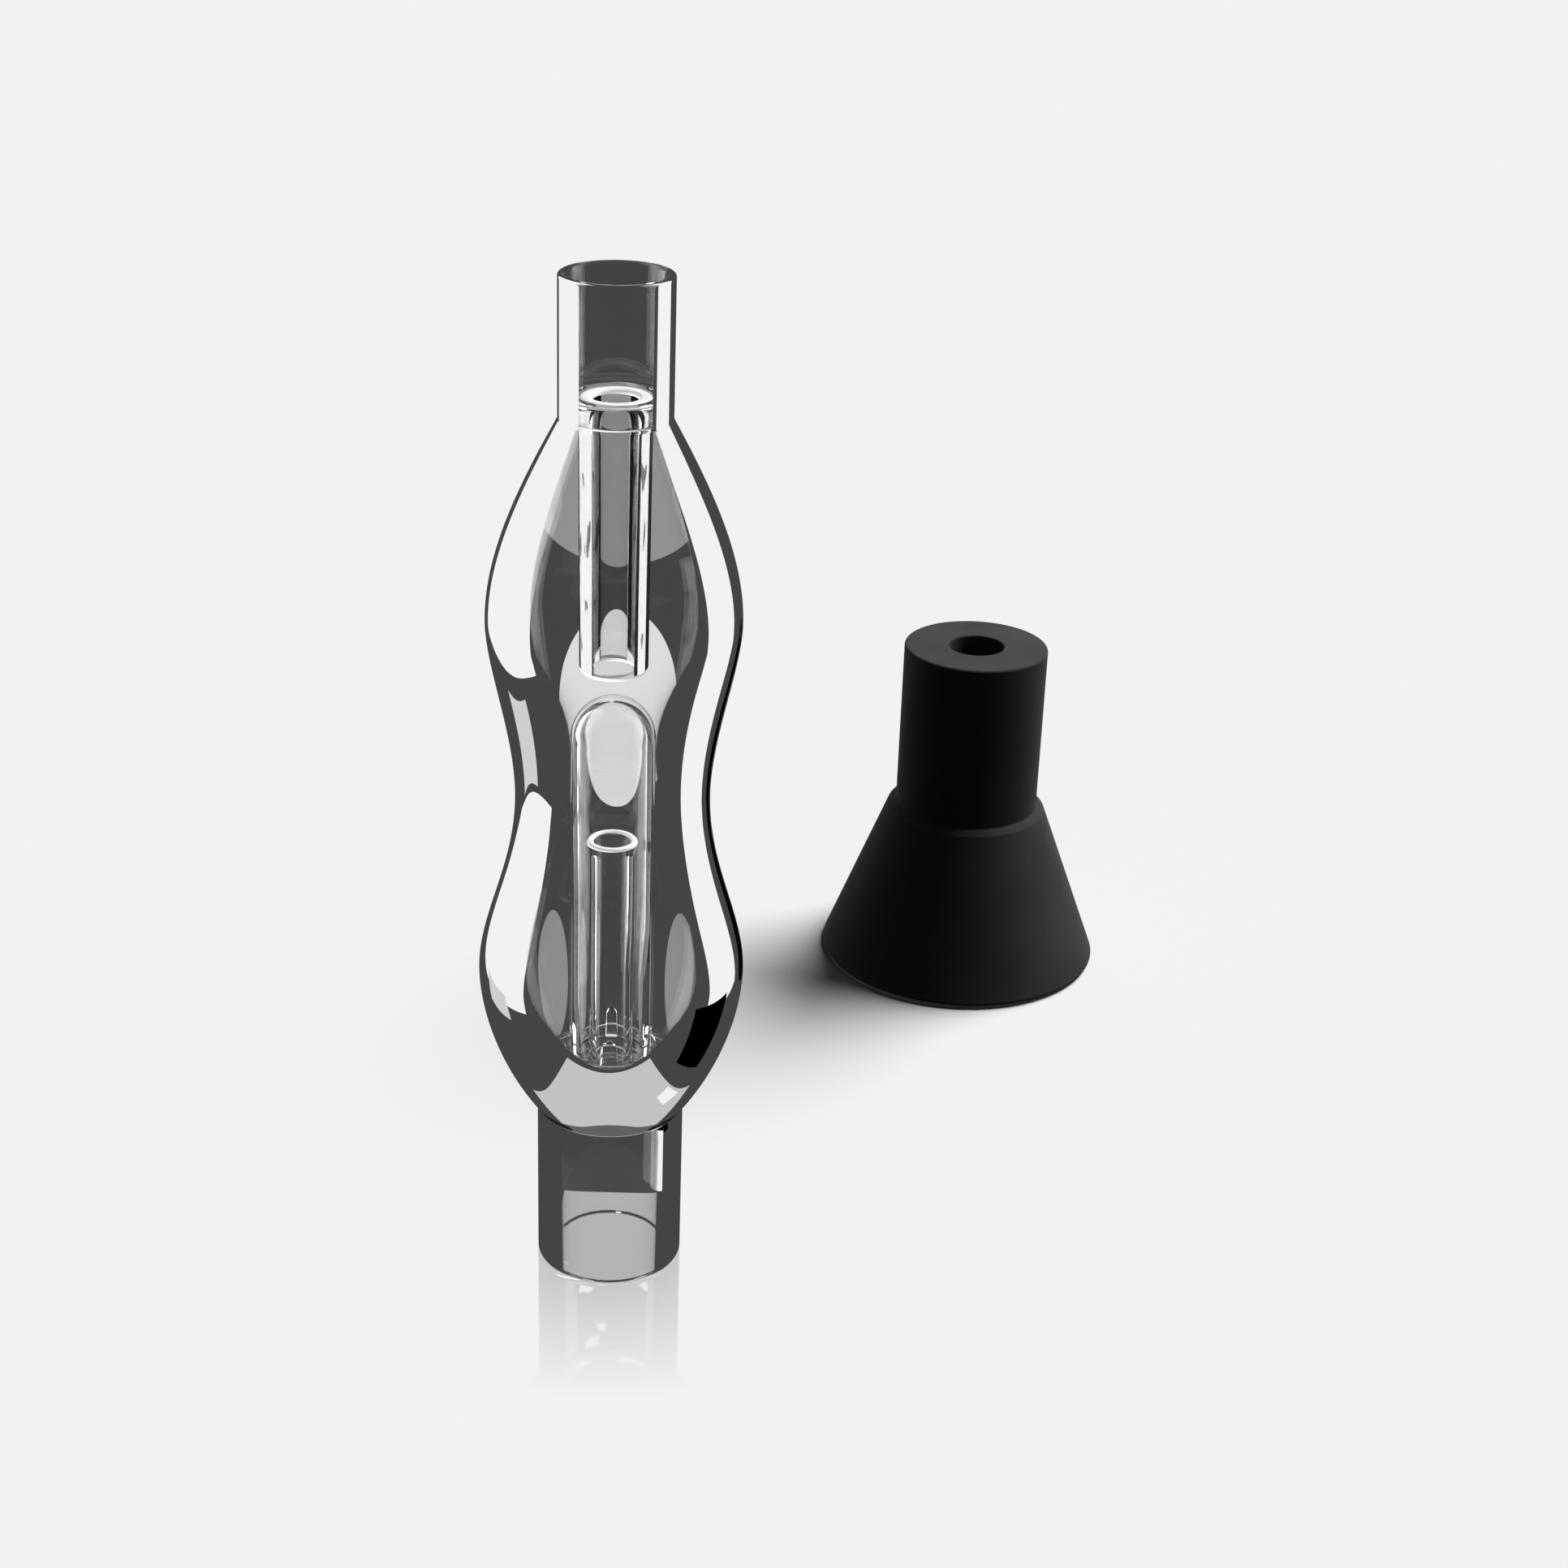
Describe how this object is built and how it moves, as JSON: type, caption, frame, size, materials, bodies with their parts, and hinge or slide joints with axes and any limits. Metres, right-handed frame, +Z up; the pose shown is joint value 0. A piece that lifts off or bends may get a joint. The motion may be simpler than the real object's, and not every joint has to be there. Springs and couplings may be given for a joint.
{
  "type": "fermentation airlock",
  "caption": "Fused glass bubbler airlock with two bulbs, a dip tube, a riser under a loose bell, and a loose black rubber stopper with a stepped taper.",
  "frame": {"origin": "centre of the foot of the glass stem, on the bench", "axes": "+Z up along the axis of the glass lock, +X to the right of the front view, +Y away from the viewer; the stopper stands to the right and behind"},
  "size_m": [0.0882, 0.122, 0.125],
  "materials": {
    "envelope_glass": "clear blown borosilicate, gloss",
    "inner_glass": "clear drawn borosilicate tube, gloss",
    "black_rubber": "matte moulded rubber"
  },
  "bodies": {
    "glass_lock": {"neck_tube": "envelope_glass", "body_shell": "envelope_glass", "stem_tube": "envelope_glass", "neck_seal": "inner_glass", "dip_tube": "inner_glass", "base_seal": "inner_glass", "riser_tube": "inner_glass"},
    "bell": {"bell": "inner_glass"},
    "stopper": {"stopper": "black_rubber"}
  },
  "joints": [
    {"name": "bell_lift", "type": "slide", "parent": "glass_lock", "child": "bell", "axis": [0, 0, 1], "range_m": [0, 0.0035]},
    {"name": "stopper_slide", "type": "slide", "parent": "glass_lock", "child": "stopper", "axis": [0.516, 0.8566, 0], "range_m": [-0.065, 0.02]}
  ]
}
